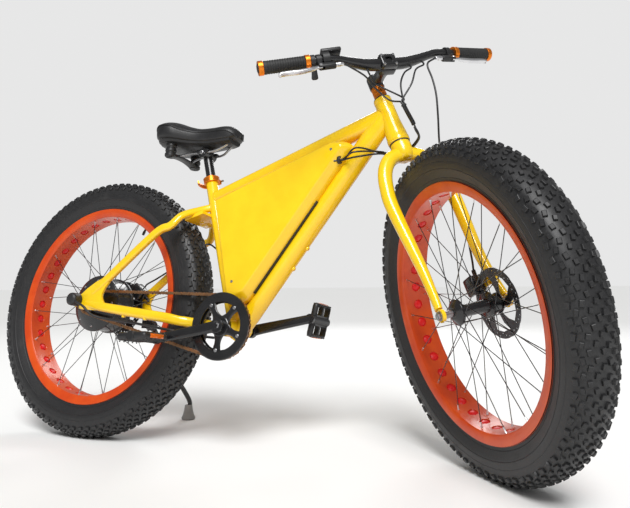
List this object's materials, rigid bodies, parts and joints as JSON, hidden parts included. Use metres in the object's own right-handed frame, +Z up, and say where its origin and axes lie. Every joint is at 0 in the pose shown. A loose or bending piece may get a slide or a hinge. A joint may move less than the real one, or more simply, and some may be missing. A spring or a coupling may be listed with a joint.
{
  "type": "fat tyre electric bicycle",
  "caption": "Electric bicycle with wide knobbly tyres, a curved tubular frame, a slim battery case in the frame, a hub motor, a rigid fork, disc brakes and a side stand.",
  "frame": {"origin": "centre of the bounding box, on the floor", "axes": "+X the way the bicycle rides, +Y its left side, +Z up. It leans to its left on its side stand"},
  "size_m": [1.775, 0.602, 1.0708],
  "materials": {
    "black_paint": "gloss black paint",
    "black_plastic": "satin black plastic",
    "black_vinyl": "matt black vinyl cover",
    "chain_steel": "copper coloured plating",
    "frame_paint": "gloss yellow paint",
    "grey_rubber": "grey rubber",
    "grip_rubber": "black textured rubber",
    "orange_anodised": "orange anodised",
    "rim_paint": "gloss orange paint",
    "silver": "satin silver",
    "steel": "zinc plated",
    "strip_red": "plain red cloth strip",
    "tyre_rubber": "black rubber with a knobbly tread"
  },
  "bodies": {
    "frame": {"battery_case_left": "frame_paint", "battery_case_right": "frame_paint", "battery_pack": "black_plastic", "bottom_bracket": "black_paint", "case_cables": "black_plastic", "chain": "chain_steel", "frame": "frame_paint", "headset_lower_cup": "black_plastic", "headset_upper_cup": "black_plastic", "kickstand_bracket": "black_paint", "motor_axle": "steel", "motor_cable": "black_plastic", "rear_axle_cap_right": "black_plastic", "rear_brake_cable": "black_plastic", "rear_brake_caliper": "black_paint", "seat_clamp_collar": "orange_anodised"},
    "steering": {"fork": "frame_paint", "headset_spacers": "orange_anodised", "stem": "black_paint", "stem_faceplate": "black_paint", "handlebar": "black_paint", "grip_right": "grip_rubber", "grip_left": "grip_rubber", "grip_ring_inner_right": "orange_anodised", "grip_ring_outer_right": "orange_anodised", "grip_ring_inner_left": "orange_anodised", "grip_ring_outer_left": "orange_anodised", "brake_perch_right": "black_plastic", "brake_perch_left": "black_plastic", "throttle_housing": "black_plastic", "front_brake_caliper": "black_paint", "front_axle": "steel", "front_brake_cable": "black_plastic", "bar_cables": "black_plastic"},
    "front_wheel": {"front_hub": "black_paint", "front_rim": "rim_paint", "front_rim_strip": "strip_red", "front_tyre": "tyre_rubber", "front_rotor": "steel"},
    "rear_wheel": {"motor_hub": "black_paint", "rear_rim": "rim_paint", "rear_rim_strip": "strip_red", "rear_tyre": "tyre_rubber", "rear_rotor": "steel"},
    "freewheel": {"sprocket": "steel"},
    "crankset": {"chainring": "steel", "chain_guard": "black_paint", "crank_arm_right": "black_paint", "crank_arm_left": "black_paint"},
    "right_pedal": {"pedal_right": "black_plastic"},
    "left_pedal": {"pedal_left": "black_plastic"},
    "right_lever": {"brake_lever_right": "silver"},
    "left_lever": {"brake_lever_left": "silver"},
    "throttle": {"throttle_paddle": "black_plastic"},
    "stand": {"kickstand_leg": "black_paint", "kickstand_foot": "grey_rubber"},
    "post": {"seatpost": "black_paint", "saddle_base": "black_plastic", "saddle_cushion": "black_vinyl"},
    "clamp_lever": {"seat_clamp_lever": "orange_anodised"}
  },
  "joints": [
    {"name": "steering", "type": "hinge", "parent": "frame", "child": "steering", "pos_m": [0.39902, 0.0739, 0.78065], "axis": [-0.3807, 0.1422, 0.9137], "range_deg": [-10, 95]},
    {"name": "front_wheel", "type": "hinge", "parent": "steering", "child": "front_wheel", "pos_m": [0.59883, -0.01742, 0.36773], "axis": [0.6871, 0.7047, 0.1767], "continuous": true},
    {"name": "rear_wheel", "type": "hinge", "parent": "frame", "child": "rear_wheel", "pos_m": [-0.51316, 0.00971, 0.36854], "axis": [-0.0001, 0.9881, -0.1538], "continuous": true},
    {"name": "crankset", "type": "hinge", "parent": "frame", "child": "crankset", "pos_m": [-0.04218, 0.00041, 0.30858], "axis": [-0.0001, 0.9881, -0.1538], "continuous": true},
    {"name": "sprocket", "type": "hinge", "parent": "frame", "child": "freewheel", "pos_m": [-0.51316, 0.00971, 0.36854], "axis": [-0.0001, 0.9881, -0.1538], "continuous": true},
    {"name": "right_pedal", "type": "hinge", "parent": "crankset", "child": "right_pedal", "pos_m": [-0.20749, -0.16676, 0.29449], "axis": [-0.0001, 0.9881, -0.1538], "continuous": true},
    {"name": "left_pedal", "type": "hinge", "parent": "crankset", "child": "left_pedal", "pos_m": [0.12313, 0.16757, 0.32266], "axis": [-0.0001, 0.9881, -0.1538], "continuous": true},
    {"name": "right_brake_lever", "type": "hinge", "parent": "steering", "child": "right_lever", "pos_m": [0.26582, -0.10202, 0.94316], "axis": [-0.3408, 0.6704, -0.6591], "range_deg": [0, 10], "stiffness_Nm_per_rad": 1.2, "springref_deg": -6.88},
    {"name": "left_brake_lever", "type": "hinge", "parent": "steering", "child": "left_lever", "pos_m": [0.52252, 0.16125, 1.00915], "axis": [0.5082, -0.4987, 0.7021], "range_deg": [0, 10], "stiffness_Nm_per_rad": 1.2, "springref_deg": -6.88},
    {"name": "throttle", "type": "hinge", "parent": "steering", "child": "throttle", "pos_m": [0.23904, -0.09617, 0.96295], "axis": [-0.7806, -0.5924, -0.199], "range_deg": [0, 20], "stiffness_Nm_per_rad": 0.15, "springref_deg": -8.59},
    {"name": "kickstand", "type": "hinge", "parent": "frame", "child": "stand", "pos_m": [-0.43319, 0.1293, 0.30132], "axis": [0.0001, 0.9717, 0.2361], "range_deg": [0, 90]},
    {"name": "seatpost_slide", "type": "slide", "parent": "frame", "child": "post", "axis": [-0.2953, 0.1469, 0.944], "range_m": [-0.004, 0.08]},
    {"name": "seat_clamp_lever", "type": "hinge", "parent": "frame", "child": "clamp_lever", "pos_m": [-0.19525, 0.08844, 0.71308], "axis": [0.2953, -0.1469, -0.944], "range_deg": [0, 100]}
  ],
  "couplings": [
    {"joint": "sprocket", "follows": "crankset", "ratio": 2.5}
  ]
}
